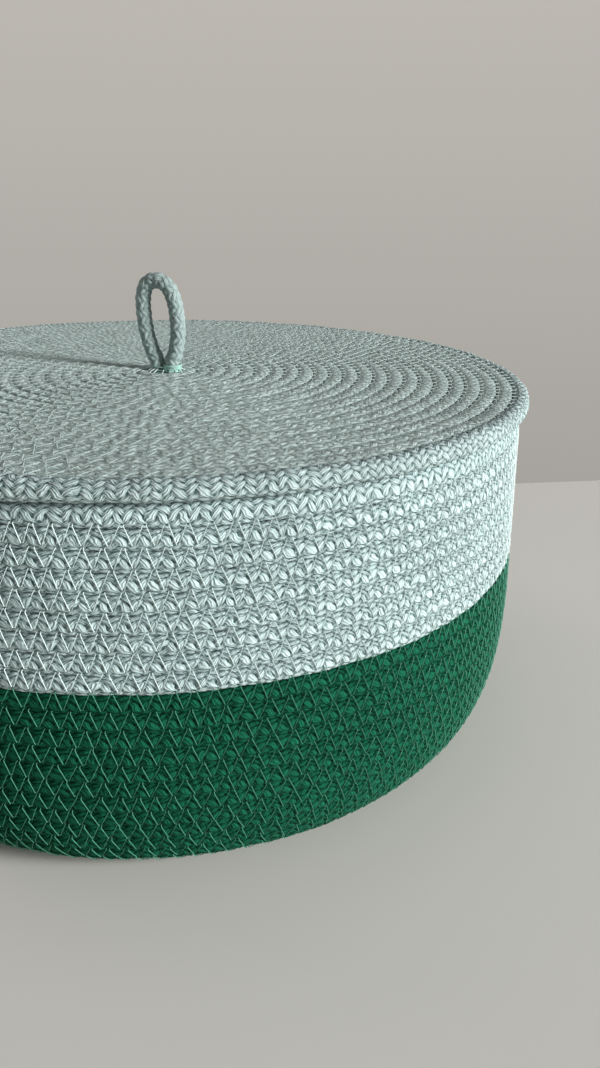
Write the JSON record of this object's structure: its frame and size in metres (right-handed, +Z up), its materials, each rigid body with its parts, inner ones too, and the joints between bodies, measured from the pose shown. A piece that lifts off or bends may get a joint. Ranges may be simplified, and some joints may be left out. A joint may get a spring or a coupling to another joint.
{
  "type": "lidded coiled cord basket",
  "caption": "Round two-colour basket of sewn coiled cotton cord with a flat lift-off lid and an upright cord loop, for keeping knitting yarn",
  "frame": {"origin": "middle of the flat underside of the base, on the surface the basket stands on", "axes": "+Z up through the middle of the lid, X along the plane of the loop, -Y towards the viewer who looks at the loop face on"},
  "size_m": [0.2764, 0.2764, 0.1676],
  "materials": {
    "green_cotton": "matt braided cotton cord",
    "mint_cotton": "matt braided cotton cord"
  },
  "bodies": {
    "basket": {"green_coil": "green_cotton", "mint_wall_coil": "mint_cotton"},
    "lid": {"lid_coil": "mint_cotton", "loop_root": "mint_cotton"},
    "loop": {"loop_handle": "mint_cotton"}
  },
  "joints": [
    {"name": "lid_lift", "type": "slide", "parent": "basket", "child": "lid", "axis": [0, 0, 1], "range_m": [0, 0.08]},
    {"name": "loop_tilt", "type": "hinge", "parent": "lid", "child": "loop", "pos_m": [0, 0, 0.13409], "axis": [1, 0, 0], "range_deg": [-60, 60], "stiffness_Nm_per_rad": 0.01}
  ]
}
